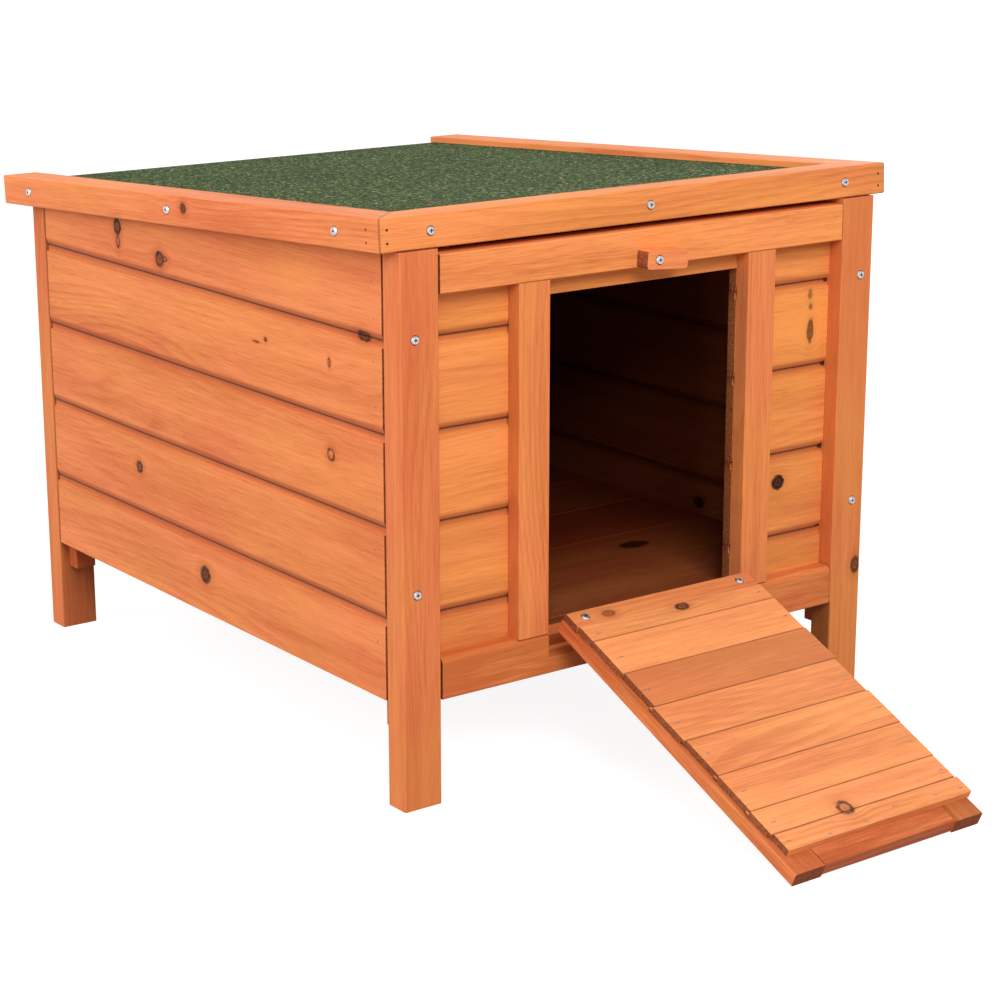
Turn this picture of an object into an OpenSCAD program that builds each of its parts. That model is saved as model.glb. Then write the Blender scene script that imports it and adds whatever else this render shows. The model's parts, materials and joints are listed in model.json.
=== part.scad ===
// Small wooden pet hutch with a lift-up felted roof and a ramp that folds up to close the doorway.
// Millimetres. X to the right, front at -Y, Z up. The origin lies on the ground, under the middle
// of the box that holds the whole hutch with its ramp let down.

/* [Cabin] */
// Width over the corner posts
body_w = 488; // [420:1:560]
// Depth over the corner posts
body_d = 600; // [520:1:700]
// Height of the lower edge of the walls
leg_h = 86; // [60:1:120]
// Height of the underside of the roof frame at its front edge
roof_front_z = 442; // [400:1:500]

/* [Posts and cleats] */
// Post width, across the front
post_w = 35; // [28:0.5:45]
// Post depth, front to back
post_d = 23; // [20:0.5:32]
// Width of the cleat inside each corner
cleat_w = 20; // [12:0.5:26]
// Depth of the cleat inside each corner
cleat_d = 15; // [10:0.5:20]
// Length of the cleat that hangs below the walls
cleat_drop = 25; // [5:1:40]
// Chamfer along the edges of the sawn timber
ease = 0.8; // [0.4:0.1:1.5]

/* [Wall boards] */
// Board thickness
board_t = 9; // [8:0.5:12]
// Height of the face of the lowest board
board_first = 67; // [55:1:80]
// Height of every other board
board_pitch = 73; // [60:1:85]
// Height of the sunk lip along the top of each board
lip_h = 6; // [3:0.5:9]
// Depth of the sunk lip
lip_d = 2; // [1:0.1:2.5]
// Height of the chamfer along the lower edge of each board, which is as deep as the lip
board_bevel = 5; // [2:0.5:8]
// Height of the hidden tongue behind the board above
tongue_h = 4; // [2:0.5:8]
// Gap between neighbouring boards
board_gap = 0.4; // [0.2:0.1:1]
// Gap between the side boards and the corner posts
end_gap = 2; // [0.5:0.1:3]

/* [Front frame] */
// Thickness of the rails and stiles that stand in front of the front boards
front_t = 15; // [12:0.5:19]
// Height of the top rail
top_rail_h = 30; // [24:0.5:40]
// Gap between the top rail and the roof frame
top_rail_gap = 5; // [2:0.5:9]
// Height of the bottom rail
bottom_rail_h = 34; // [28:0.5:45]
// Radius of the upper front edge of the bottom rail
rail_round = 5; // [2:0.5:8]
// Gap between the ends of the rails and the corner posts
rail_gap = 1.5; // [0.5:0.1:2.5]
// Height of the bottom rail left under the door notch
notch_keep = 13.5; // [10:0.5:18]
// Width of the doorway
door_w = 206; // [160:1:240]
// Width of the stile on each side of the doorway
stile_w = 30; // [22:0.5:38]
// Height of the board strip that shows between the doorway and the top rail
lintel_h = 15; // [12:0.5:20]

/* [Floor] */
// Floor board thickness
floor_t = 9; // [8:0.5:12]
// Depth of the floor below the top of the bottom rail
floor_drop = 3; // [1:0.5:6]
// Width of the first full floor board
floor_first = 71; // [60:1:85]
// Width of the other floor boards
floor_pitch = 87; // [60:1:110]
// Section of the square ledgers that carry the floor
ledger = 15; // [10:0.5:18]

/* [Roof] */
// Fall of the roof towards the back, in degrees
roof_slope = 3.4; // [2:0.1:5]
// Overhang of the roof at the back
roof_back = 24.4; // [20:0.1:60]
// Overhang of the roof on each side
roof_side = 15; // [8:0.5:25]
// Distance of the roof's front edge behind the front of the posts
roof_setback = 3.5; // [0:0.5:6]
// Width of the roof frame timber
roof_rail_w = 34; // [28:0.5:45]
// Height of the roof frame timber
roof_rail_h = 26; // [24:0.5:34]
// Depth of the felt below the top of the frame
felt_drop = 5.5; // [3:0.5:8]
// Felt thickness
felt_t = 1.5; // [1:0.1:3]
// Roof deck thickness
deck_t = 9; // [6:0.5:12]
// Distance of the deck's back edge from the end of the side rails
deck_short = 7; // [4:0.5:12]
// Width of the batten under the back edge of the deck
back_batten_w = 28; // [24:0.5:36]
// Gap between the roof and what it rests on
rest_gap = 0.4; // [0.3:0.1:1]

/* [Roof hinges] */
// Distance of each hinge from the middle of the back
roof_hinge_x = 150; // [80:1:180]
// Hinge width
leaf_w = 40; // [30:1:60]
// Leaf thickness
leaf_t = 1.6; // [1.2:0.1:2]
// Length of the leaf under the roof
leaf_l = 13; // [11:0.5:14]
// Height of the leaf on the back wall
leaf_h = 24; // [18:1:32]
// Knuckle radius
knuckle_r = 3.2; // [2.8:0.1:3.6]
// Width of the middle knuckle
knuckle_w = 13.6; // [10:0.2:18]
// Hinge pin radius
pin_r = 1.5; // [1.2:0.1:1.8]
// Radial clearance of the hinge pin in the moving knuckle
run_clear = 0.05; // [0.02:0.01:0.1]
// Gap between neighbouring knuckles and beside the moving pieces
play = 0.4; // [0.3:0.1:0.8]

/* [Ramp] */
// Gap between the ramp and each stile
ramp_side_gap = 4.7; // [2:0.1:8]
// Gap between the shut ramp and the top rail
ramp_head_gap = 4.5; // [3.5:0.5:7]
// Gap between the shut ramp and the sill under it, and of the lowered foot over the ground
swing_gap = 1; // [0.6:0.1:2]
// Width of the ramp's side battens, head rail and foot rail
batten_w = 30; // [22:0.5:38]
// Thickness of the ramp's side battens, head rail and foot rail
batten_t = 12; // [10:0.5:13]
// Thickness of the slats and of the top bar
slat_t = 6.5; // [5:0.5:8]
// Shortening of the slats and the top bar at each end
slat_inset = 2; // [1:0.1:4]
// Offset of the slats to the right
slat_shift = 2; // [0:0.1:2.5]
// Unevenness of the slats' ends
slat_scatter = 1.2; // [0:0.1:1.5]
// Distance of the lowest slat from the foot of the ramp
slat_foot = 17.7; // [12:0.1:24]
// Width of the bar across the top of the ramp
top_bar_w = 17.3; // [14:0.1:24]
// Width of the slat next to the top bar
slat_upper = 19.4; // [14:0.1:26]
// Width of the full slats
slat_pitch = 40.7; // [36:0.1:42]
// Number of full slats
slat_full = 5; // [4:1:5]
// Width of the lowest slat
slat_last = 18.2; // [12:0.1:22]
// Height of the ramp's foot above the ground
foot_gap = 0.3; // [0.2:0.1:1]

/* [Ramp hinges] */
// Distance of each hinge from the middle of the ramp
ramp_hinge_x = 48; // [40:0.5:54]
// Distance of the pivot from the upper end of the ramp
pivot_in = 8; // [7:0.1:10]
// Distance of the pivot below the underside of the ramp
pivot_drop = 11; // [10:0.1:12]
// Radius of the ears round the pivot
ear_r = 5; // [4:0.1:5.5]
// Thickness of the ear on the ramp
ear_mid = 4; // [3:0.1:6]
// Thickness of each of the two ears on the bottom rail
ear_side = 2; // [1.5:0.1:3]
// Pivot pin radius
ramp_pin_r = 2; // [1.5:0.1:2.5]
// Width of the bracket plates
plate_w = 24; // [18:0.5:28]
// Thickness of the bracket plates
plate_t = 2; // [1.5:0.1:2.2]
// Length of the plate under the ramp
plate_l = 28; // [20:0.5:40]
// Distance of the plates from the edges of the timber they are screwed to
plate_in = 1; // [0.5:0.1:2]

/* [Turn button] */
// Button length
button_l = 42; // [34:0.5:48]
// Button height
button_h = 15; // [12:0.5:16]
// Button thickness
button_t = 13; // [9:0.5:16]
// Distance of the pivot screw from the near end
button_tail = 12; // [9:0.5:16]
// Corner radius
button_round = 3; // [1:0.5:5]
// Droop of the long end at rest, in degrees
button_tilt = 4; // [0:0.5:5]
// Offset of the pivot from the middle of the front
button_x = -5; // [-40:1:40]
// Height of the pivot above the lower edge of the top rail
button_up = 7; // [6.5:0.5:12]
// Gap between the button and the top rail
button_gap = 0.5; // [0.3:0.1:1]

/* [Screws] */
// Screw head radius
head_r = 3.6; // [3:0.1:4.2]
// Screw head thickness
head_t = 1.4; // [1:0.1:2]
// Screw shank radius
shank_r = 1.6; // [1.2:0.1:2]
// Screw shank length
shank_l = 18; // [14:0.5:20]
// Clearance round a shank in its pilot hole
pilot_clear = 0.05; // [0.02:0.01:0.1]
// Width of the cross recess in a head
recess_w = 0.9; // [0.6:0.1:1.2]
// Depth of the cross recess in a head
recess_d = 0.8; // [0.5:0.1:0.9]
// Height of the lower screw in a post
post_screw_low = 176; // [140:1:220]
// Distance of the upper post screw below the roof
post_screw_down = 67; // [40:1:100]
// Distance of a post screw from the outside of the post
post_screw_in = 13; // [10:0.5:17]
// Distance of the front screw in each side rail from the roof's front
roof_screw_first = 60; // [45:1:90]
// Distance of the back screw in each side rail from its end
roof_screw_last = 50; // [40:1:80]
// Distance of the outer front rail screws from the ends of the rail
roof_screw_end = 46; // [42:1:80]
// Distance of a ramp screw from the side of the ramp
ramp_screw_in = 16; // [12:0.5:20]
// Radius of the flush heads in the hinges
csk_r = 2.6; // [2.2:0.1:3]
// Shank radius of the hinge screws
csk_shank_r = 1.2; // [1:0.1:1.4]
// Length of the hinge screws
csk_l = 9; // [7:0.5:9.5]
// Distance of a hinge screw from the side of its leaf or plate
csk_in = 5; // [3.8:0.1:6]

/* [Hidden] */
$fn = 48;

wood = [0.86, 0.52, 0.27];
wood_dark = [0.74, 0.42, 0.21];
felt_green = [0.13, 0.28, 0.17];
steel = [0.78, 0.79, 0.80];

half_w = body_w / 2;
half_door = door_w / 2;
inner_x = half_w - post_w;
rail_x = inner_x - rail_gap;
board_x = half_w - board_t;
hole_r = shank_r + pilot_clear;
big = 2 * (body_w + body_d);
cut = 1;

// Heights of the front
top_rail_z = roof_front_z - top_rail_gap - top_rail_h;
ledge_z = leg_h + bottom_rail_h;
door_head = top_rail_z - lintel_h;
notch_z = leg_h + notch_keep;
floor_z = ledge_z - floor_drop;
ledger_z = floor_z - floor_t - ledger;
rows = 1 + round((roof_front_z - top_rail_gap - leg_h - board_first) / board_pitch);

// Lines of the floor
front_inner = front_t + board_t;
floor_y0 = post_d + cleat_d;
floor_y1 = body_d - post_d - cleat_d;
floor_count = 1 + ceil((floor_y1 - floor_y0 - floor_first) / floor_pitch);

// Roof, in a frame that starts at its front lower edge and falls to the back
roof_half = half_w + roof_side;
roof_len = (body_d + roof_back - roof_setback) / cos(roof_slope);
deck_z = roof_rail_h - felt_drop - felt_t - deck_t;
deck_y1 = roof_len - deck_short;
deck_half = roof_half - roof_rail_w;
axis_off = knuckle_r + play;
roof_axis_s = (body_d + axis_off - roof_setback + axis_off * sin(roof_slope)) / cos(roof_slope);
roof_axis_y = body_d + axis_off;
roof_axis_z = roof_front_z - roof_axis_s * sin(roof_slope) - axis_off * cos(roof_slope);

// Ramp, shut and let down
shut_top = top_rail_z - ramp_head_gap;
ramp_len = shut_top - notch_z - swing_gap;
shut_y = front_t - batten_t - rest_gap;
ramp_axis_y = shut_y - pivot_drop;
ramp_axis_z = notch_z + swing_gap + pivot_in;
ramp_arm = ramp_len - pivot_in;
ramp_reach = sqrt(ramp_arm * ramp_arm + pivot_drop * pivot_drop);
ramp_angle = atan(pivot_drop / ramp_arm) + asin((ramp_axis_z - foot_gap) / ramp_reach);
ramp_half = half_door - ramp_side_gap;
slat_half = ramp_half - slat_inset;
slat_top = ramp_len - top_bar_w;
slat_next = slat_top - slat_foot - slat_upper - slat_full * slat_pitch - slat_last;
scatter_turn = 137;
ear_gap = ear_mid / 2 + play;
ear_out = ear_gap + ear_side;

// Middle of the whole depth, from the ramp's foot to the back of the roof
ramp_front_y = ramp_axis_y - ramp_arm * cos(ramp_angle) - (batten_t + pivot_drop) * sin(ramp_angle);
roof_back_y = roof_setback + roof_len * cos(roof_slope) + roof_rail_h * sin(roof_slope);
mid_y = (ramp_front_y + roof_back_y) / 2;

button_z = top_rail_z + button_up;
post_screw_x = half_w - post_screw_in;
post_screw_high = roof_front_z - post_screw_down;
roof_screw_z = roof_rail_h / 2;

// Height at which board row i starts, and the height of its face: the top row reaches up to the roof
function row_z(i) = i == 0 ? leg_h : leg_h + board_first + (i - 1) * board_pitch;
function row_h(i) = i == 0 ? board_first : i == rows - 1 ? roof_front_z - row_z(i) : board_pitch;

// Outline of a shiplap board as [depth from its face, height]: h is the height of the face,
// low adds the rebate over the board below, high the tongue, and sunk is the depth of the chamfer and the lip
function lap(h, t, low, high, sunk) = concat(
    low && sunk > 0 ? [[0, board_bevel], [sunk, 0]] : [[0, 0]],
    low ? [[t / 2 - board_gap / 2, 0], [t / 2 - board_gap / 2, tongue_h + board_gap],
           [t, tongue_h + board_gap]] : [[t, 0]],
    high ? [[t, h + tongue_h], [t / 2 + board_gap / 2, h + tongue_h],
            [t / 2 + board_gap / 2, h - board_gap]] : [[t, h], [0, h]],
    !high ? [] : sunk == 0 ? [[0, h - board_gap]]
               : [[sunk, h - board_gap], [sunk, h - lip_h], [0, h - lip_h]]);

module placed() {
    translate([0, -mid_y, 0]) children();
}

module roof_placed() {
    placed() translate([0, roof_setback, roof_front_z]) rotate([-roof_slope, 0, 0]) children();
}

// The ramp's own frame: y is 0 at its upper end and falls to its foot, z is 0 on its underside
module ramp_placed() {
    placed() translate([0, ramp_axis_y, ramp_axis_z]) rotate([ramp_angle, 0, 0])
        translate([0, pivot_in, pivot_drop]) children();
}

// Everything above the roof's rest plane
module above_roof() {
    translate([0, roof_setback, roof_front_z]) rotate([-roof_slope, 0, 0])
        translate([-big / 2, -big / 2, -rest_gap]) cube([big, big, big]);
}

module eased(a, b) {
    polygon([[ease, 0], [a - ease, 0], [a, ease], [a, b - ease], [a - ease, b], [ease, b],
             [0, b - ease], [0, ease]]);
}

module timber_x(p, l, d, h) {
    translate(p) rotate([90, 0, 90]) linear_extrude(l) eased(d, h);
}

module timber_y(p, w, l, h) {
    translate([p[0], p[1] + l, p[2]]) rotate([90, 0, 0]) linear_extrude(l) eased(w, h);
}

module timber_z(p, w, d, h) {
    translate(p) linear_extrude(h) eased(w, d);
}

// A screw along Z with its head's underside at 0
module screw(l) {
    difference() {
        cylinder(r1 = head_r, r2 = head_r - head_t / 2, h = head_t);
        for (turn = [0, 90]) rotate(turn)
            translate([-recess_w / 2, -head_r / 2, head_t - recess_d])
                cube([recess_w, head_r, recess_d + cut]);
    }
    translate([0, 0, -l]) cylinder(r = shank_r, h = l + cut / 2);
}

module pilot(l) {
    translate([0, 0, -l - pilot_clear]) cylinder(r = hole_r, h = l + cut);
}

// A flush screw along Z through a plate of thickness t whose face lies at 0, and the hole for it
module flush_screw(t) {
    difference() {
        union() {
            translate([0, 0, -t]) cylinder(r1 = csk_shank_r, r2 = csk_r, h = t);
            translate([0, 0, -csk_l]) cylinder(r = csk_shank_r, h = csk_l - t / 2);
        }
        for (turn = [0, 90]) rotate(turn)
            translate([-recess_w / 2, -csk_r / 2, -recess_d]) cube([recess_w, csk_r, recess_d + cut]);
    }
}

module flush_hole(t) {
    translate([0, 0, -t]) cylinder(r1 = csk_shank_r + pilot_clear, r2 = csk_r + pilot_clear, h = t);
    translate([0, 0, -csk_l - pilot_clear]) cylinder(r = csk_shank_r + pilot_clear, h = csk_l + cut);
}

// Places along the post screws, pointing out of the front
module at_post_screws(side) {
    for (z = [post_screw_low, post_screw_high])
        translate([side * post_screw_x, 0, z]) rotate([90, 0, 0]) children();
}

module post(side) {
    difference() {
        timber_z([side > 0 ? inner_x : -half_w, 0, 0], post_w, post_d, roof_front_z);
        above_roof();
        at_post_screws(side) pilot(shank_l);
    }
}

module back_post(side) {
    difference() {
        timber_z([side > 0 ? inner_x : -half_w, body_d - post_d, 0], post_w, post_d, roof_front_z);
        above_roof();
    }
}

module post_front_left() color(wood) placed() post(-1);
module post_front_right() color(wood) placed() post(1);
module post_back_left() color(wood) placed() back_post(-1);
module post_back_right() color(wood) placed() back_post(1);

module corner_cleats() {
    cleat_z = leg_h - cleat_drop;
    color(wood_dark) placed() difference() {
        for (x = [-board_x, board_x - cleat_w], y = [post_d, floor_y1])
            timber_z([x, y, cleat_z], cleat_w, cleat_d, roof_front_z - cleat_z);
        above_roof();
    }
}

module side_wall() {
    difference() {
        for (i = [0 : rows - 1])
            translate([-half_w, body_d - post_d - end_gap, row_z(i)]) rotate([90, 0, 0])
                linear_extrude(body_d - 2 * (post_d + end_gap))
                    polygon(lap(row_h(i), board_t, i > 0, i < rows - 1, lip_d));
        above_roof();
    }
}

module wall_left() color(wood) placed() side_wall();
module wall_right() color(wood) placed() mirror([1, 0, 0]) side_wall();

module wall_back() {
    color(wood) placed() difference() {
        for (i = [0 : rows - 1])
            translate([-inner_x, body_d, row_z(i)]) mirror([0, 1, 0]) rotate([90, 0, 90])
                linear_extrude(2 * inner_x) polygon(lap(row_h(i), board_t, i > 0, i < rows - 1, lip_d));
        above_roof();
        at_wall_leaf_screws() flush_hole(leaf_t);
    }
}

// One row of the front with the doorway cut out of it
module front_row(i) {
    top = top_rail_z + top_rail_h;
    last = i == rows - 1;
    difference() {
        translate([-inner_x, front_t, row_z(i)]) rotate([90, 0, 90]) linear_extrude(2 * inner_x)
            polygon(lap(last ? top - row_z(i) : row_h(i), board_t, i > 0, !last, lip_d));
        translate([-half_door, 0, notch_z]) cube([door_w, body_d / 2, door_head - notch_z]);
    }
}

module half_front(side) {
    intersection() {
        for (i = [1 : rows - 2]) front_row(i);
        translate([side > 0 ? 0 : -body_w, -cut, 0]) cube([body_w, body_d, roof_front_z]);
    }
}

module front_board_bottom() color(wood) placed() front_row(0);
module front_boards_left() color(wood) placed() half_front(-1);
module front_boards_right() color(wood) placed() half_front(1);
module front_board_top() color(wood) placed() front_row(rows - 1);

module top_rail() {
    color(wood) placed() difference() {
        timber_x([-rail_x, 0, top_rail_z], 2 * rail_x, front_t, top_rail_h);
        translate([button_x, 0, button_z]) rotate([90, 0, 0]) pilot(front_t - 2 * cut);
    }
}

module bottom_rail() {
    color(wood) placed() difference() {
        timber_x([-rail_x, 0, leg_h], 2 * rail_x, front_t, bottom_rail_h);
        translate([-rail_x - cut, 0, ledge_z]) rotate([90, 0, 90])
            linear_extrude(2 * (rail_x + cut)) difference() {
                translate([-cut, -rail_round]) square(rail_round + cut);
                translate([rail_round, -rail_round]) circle(rail_round);
            }
        translate([-half_door, -cut, notch_z]) cube([door_w, front_t + 2 * cut, bottom_rail_h]);
        at_rail_plate_screws() flush_hole(plate_t);
    }
}

module stile(x) timber_z([x, 0, ledge_z], stile_w, front_t, top_rail_z - ledge_z);
module stile_left() color(wood) placed() stile(-half_door - stile_w);
module stile_right() color(wood) placed() stile(half_door);

// A rail behind the top of the back wall, under the hinges
module back_rail() {
    color(wood_dark) placed() difference() {
        timber_x([-inner_x, body_d - board_t - front_t, roof_axis_z - top_rail_h],
                 2 * inner_x, front_t, top_rail_h + roof_rail_h);
        above_roof();
    }
}

module side_ledgers() {
    color(wood_dark) placed() for (x = [-board_x, board_x - ledger])
        timber_y([x, floor_y0, ledger_z], ledger, floor_y1 - floor_y0, ledger);
}

module front_ledger() {
    color(wood_dark) placed()
        timber_x([-inner_x, front_inner, ledger_z], 2 * inner_x, ledger, ledger);
}

module back_ledger() {
    color(wood_dark) placed()
        timber_x([-inner_x, body_d - board_t - ledger, ledger_z], 2 * inner_x, ledger, ledger);
}

// Floor boards across the cabin: full ones between the cleats, and a narrow one at the front and back
module floor_boards() {
    board_z = floor_z - floor_t;
    strip = inner_x - board_gap;
    color(wood_dark) placed() {
        translate([-strip, front_inner, board_z])
            cube([2 * strip, floor_y0 - front_inner, floor_t]);
        translate([-strip, floor_y1 + board_gap, board_z])
            cube([2 * strip, body_d - board_t - floor_y1 - board_gap, floor_t]);
        for (i = [0 : floor_count - 1]) {
            from = i == 0 ? floor_y0 + board_gap : floor_y0 + floor_first + (i - 1) * floor_pitch + board_gap;
            to = min(floor_y0 + floor_first + i * floor_pitch, floor_y1);
            translate([-board_x, from, board_z]) cube([2 * board_x, to - from, floor_t]);
        }
    }
}

module roof_deck() {
    color(wood_dark) roof_placed() translate([-deck_half, roof_rail_w, deck_z])
        cube([2 * deck_half, deck_y1 - roof_rail_w, deck_t]);
}

module roof_felt() {
    color(felt_green) roof_placed() translate([-deck_half, roof_rail_w, deck_z + deck_t])
        cube([2 * deck_half, deck_y1 - roof_rail_w, felt_t]);
}

// Places of the three screws in a side rail, pointing out of its left face
module at_side_screws() {
    last = roof_len - roof_screw_last;
    for (y = [roof_screw_first, (roof_screw_first + last) / 2, last])
        translate([-roof_half, y, roof_screw_z]) rotate([0, -90, 0]) children();
}

module at_front_screws() {
    for (x = [roof_screw_end - roof_half, 0, roof_half - roof_screw_end])
        translate([x, 0, roof_screw_z]) rotate([90, 0, 0]) children();
}

// The plan of a rail, cut to the mitre at the front corners
module side_rail() {
    difference() {
        intersection() {
            timber_y([-roof_half, 0, 0], roof_rail_w, roof_len, roof_rail_h);
            translate([-roof_half, 0, -cut]) linear_extrude(roof_rail_h + 2 * cut)
                polygon([[0, 0], [roof_rail_w, roof_rail_w], [roof_rail_w, roof_len], [0, roof_len]]);
        }
        at_side_screws() pilot(shank_l);
    }
}

module roof_rail_left() color(wood) roof_placed() side_rail();
module roof_rail_right() color(wood) roof_placed() mirror([1, 0, 0]) side_rail();

module roof_rail_front() {
    color(wood) roof_placed() difference() {
        intersection() {
            timber_x([-roof_half, 0, 0], 2 * roof_half, roof_rail_w, roof_rail_h);
            translate([0, 0, -cut]) linear_extrude(roof_rail_h + 2 * cut)
                polygon([[-roof_half, 0], [roof_half, 0], [deck_half, roof_rail_w],
                         [-deck_half, roof_rail_w]]);
        }
        at_front_screws() pilot(shank_l);
    }
}

module roof_back_batten() {
    color(wood_dark) roof_placed() difference() {
        timber_x([-deck_half, deck_y1 - back_batten_w, 0], 2 * deck_half, back_batten_w, deck_z);
        at_roof_leaf_screws() flush_hole(leaf_t);
    }
}

// Knuckles along X: the outer pair, or the middle one
module knuckle(x0, x1, r, bore) {
    translate([x0, 0, 0]) rotate([0, 90, 0]) difference() {
        cylinder(r = r, h = x1 - x0);
        translate([0, 0, -cut]) cylinder(r = bore, h = x1 - x0 + 2 * cut);
    }
}

module at_roof_hinges() {
    for (side = [-1, 1]) translate([side * roof_hinge_x, 0, 0]) children();
}

// Places of the two screws in each leaf, pointing out of the leaf
module at_wall_leaf_screws() {
    at_roof_hinges() for (x = [csk_in - leaf_w / 2, leaf_w / 2 - csk_in])
        translate([x, body_d + leaf_t, roof_axis_z - (leaf_h + knuckle_r) / 2])
            rotate([-90, 0, 0]) children();
}

module at_roof_leaf_screws() {
    at_roof_hinges() for (x = [csk_in - leaf_w / 2, leaf_w / 2 - csk_in])
        translate([x, roof_axis_s + (leaf_l + axis_off) / 2, -leaf_t]) rotate([180, 0, 0]) children();
}

// The leaf on the back wall, about the hinge's axis: its plate is cut away round the middle knuckle
module wall_leaf() {
    clear = knuckle_w / 2 + play;
    difference() {
        union() {
            for (x = [-leaf_w / 2, clear]) knuckle(x, x + leaf_w / 2 - clear, knuckle_r, pin_r);
            translate([-leaf_w / 2, -axis_off, -leaf_h]) cube([leaf_w, leaf_t, leaf_h]);
        }
        translate([-clear, -axis_off - cut, -knuckle_r - play])
            cube([2 * clear, leaf_t + 2 * cut, leaf_h]);
        translate([-leaf_w, 0, 0]) rotate([0, 90, 0]) cylinder(r = pin_r, h = 2 * leaf_w);
    }
}

// The leaf under the roof, about the hinge's axis: its plate starts behind the outer knuckles
module roof_leaf() {
    bore = pin_r + run_clear;
    difference() {
        union() {
            knuckle(-knuckle_w / 2, knuckle_w / 2, knuckle_r, bore);
            translate([-knuckle_w / 2, 0, axis_off - leaf_t]) cube([knuckle_w, leaf_l, leaf_t]);
            translate([-leaf_w / 2, axis_off, axis_off - leaf_t])
                cube([leaf_w, leaf_l - axis_off, leaf_t]);
        }
        translate([-leaf_w, 0, 0]) rotate([0, 90, 0]) cylinder(r = bore, h = 2 * leaf_w);
    }
}

module roof_hinge_fixed() {
    color(steel) placed() difference() {
        at_roof_hinges() translate([0, roof_axis_y, roof_axis_z]) wall_leaf();
        at_wall_leaf_screws() flush_hole(leaf_t);
    }
}

module roof_hinge_moving() {
    color(steel) roof_placed() difference() {
        at_roof_hinges() translate([0, roof_axis_s, -axis_off]) roof_leaf();
        at_roof_leaf_screws() flush_hole(leaf_t);
    }
}

module wall_leaf_screws() color(steel) placed() at_wall_leaf_screws() flush_screw(leaf_t);
module roof_leaf_screws() color(steel) roof_placed() at_roof_leaf_screws() flush_screw(leaf_t);

module roof_hinge_pins() {
    color(steel) placed() at_roof_hinges() translate([-leaf_w / 2, roof_axis_y, roof_axis_z])
        rotate([0, 90, 0]) cylinder(r = pin_r, h = leaf_w);
}

module ramp_screw_places() {
    for (side = [-1, 1])
        translate([side * (ramp_half - ramp_screw_in), -top_bar_w / 2, batten_t + slat_t]) children();
}

module ramp_batten(x) {
    ramp_placed() difference() {
        timber_y([x, -ramp_len, 0], batten_w, ramp_len, batten_t);
        ramp_screw_places() pilot(slat_t + batten_t / 2);
    }
}

module ramp_batten_left() color(wood) ramp_batten(-ramp_half);
module ramp_batten_right() color(wood) ramp_batten(ramp_half - batten_w);

// A rail across the ramp between its battens, with its lower edge at y
module ramp_rail(y) {
    inner = ramp_half - batten_w;
    timber_x([-inner, y, 0], 2 * inner, batten_w, batten_t);
}

module ramp_head_rail() {
    color(wood) ramp_placed() difference() {
        ramp_rail(-batten_w);
        at_ramp_plate_screws() flush_hole(plate_t);
    }
}

module ramp_foot_rail() color(wood) ramp_placed() ramp_rail(swing_gap - ramp_len);

module ramp_top_bar() {
    color(wood) ramp_placed() difference() {
        timber_x([-slat_half, -top_bar_w, batten_t], 2 * slat_half, top_bar_w, slat_t);
        ramp_screw_places() pilot(slat_t + batten_t / 2);
    }
}

// Slat i, counted from the foot: its lower edge lies s above the foot, and its ends are a little uneven
module slat(i, s, h, low, high) {
    x = slat_shift + slat_scatter * cos(i * scatter_turn);
    translate([x - slat_half, 0, 0]) rotate([90, 0, 90]) linear_extrude(2 * slat_half)
        polygon([for (p = lap(h, slat_t, low, high, 0)) [s - ramp_len + p[1], batten_t + slat_t - p[0]]]);
}

module ramp_slats() {
    full_from = slat_foot + slat_last + slat_next;
    color(wood) ramp_placed() {
        slat(0, slat_foot, slat_last, false, true);
        slat(1, slat_foot + slat_last, slat_next, true, true);
        for (i = [0 : slat_full - 1]) slat(i + 2, full_from + i * slat_pitch, slat_pitch, true, true);
        slat(slat_full + 2, slat_top - slat_upper, slat_upper - board_gap, true, false);
    }
}

module at_ramp_hinges() {
    for (side = [-1, 1]) translate([side * ramp_hinge_x, 0, 0]) children();
}

// Places of the two screws in each plate, pointing out of the plate
module at_rail_plate_screws() {
    at_ramp_hinges() for (x = [csk_in - plate_w / 2, plate_w / 2 - csk_in])
        translate([x, -plate_t, leg_h + notch_keep / 2]) rotate([90, 0, 0]) children();
}

module at_ramp_plate_screws() {
    at_ramp_hinges() for (x = [csk_in - plate_w / 2, plate_w / 2 - csk_in])
        translate([x, -plate_in - plate_l / 2, -plate_t]) rotate([180, 0, 0]) children();
}

// An ear in the plane across X, round the pivot and down to a foot
module ear(x0, x1, from, size, bore) {
    difference() {
        union() {
            translate([x0, 0, 0]) rotate([0, 90, 0]) cylinder(r = ear_r, h = x1 - x0);
            translate([x0, from[0], from[1]]) cube([x1 - x0, size[0], size[1]]);
        }
        translate([x0 - cut, 0, 0]) rotate([0, 90, 0]) cylinder(r = bore, h = x1 - x0 + 2 * cut);
    }
}

// Bracket on the bottom rail, about the pivot: a plate under the notch with two ears up to the pivot
module rail_bracket() {
    foot = leg_h + plate_in - ramp_axis_z;
    plate_h = notch_keep - 2 * plate_in;
    translate([-plate_w / 2, -ramp_axis_y - plate_t, foot]) cube([plate_w, plate_t, plate_h]);
    for (x = [-ear_out, ear_gap]) {
        ear(x, x + ear_side, [-ear_r, foot], [2 * ear_r, -foot], ramp_pin_r);
        translate([x, -ear_r, foot]) cube([ear_side, ear_r - ramp_axis_y - plate_t / 2, plate_h]);
    }
}

// Bracket under the ramp, from its upper end: a plate with one ear down to the pivot
module ramp_bracket() {
    translate([-plate_w / 2, -plate_l - plate_in, -plate_t]) cube([plate_w, plate_l, plate_t]);
    translate([0, -pivot_in, -pivot_drop])
        ear(-ear_mid / 2, ear_mid / 2, [-ear_r, 0], [2 * ear_r, pivot_drop - plate_t / 2],
            ramp_pin_r + run_clear);
}

module ramp_hinge_fixed() {
    color(steel) placed() difference() {
        at_ramp_hinges() translate([0, ramp_axis_y, ramp_axis_z]) rail_bracket();
        at_rail_plate_screws() flush_hole(plate_t);
    }
}

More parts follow.
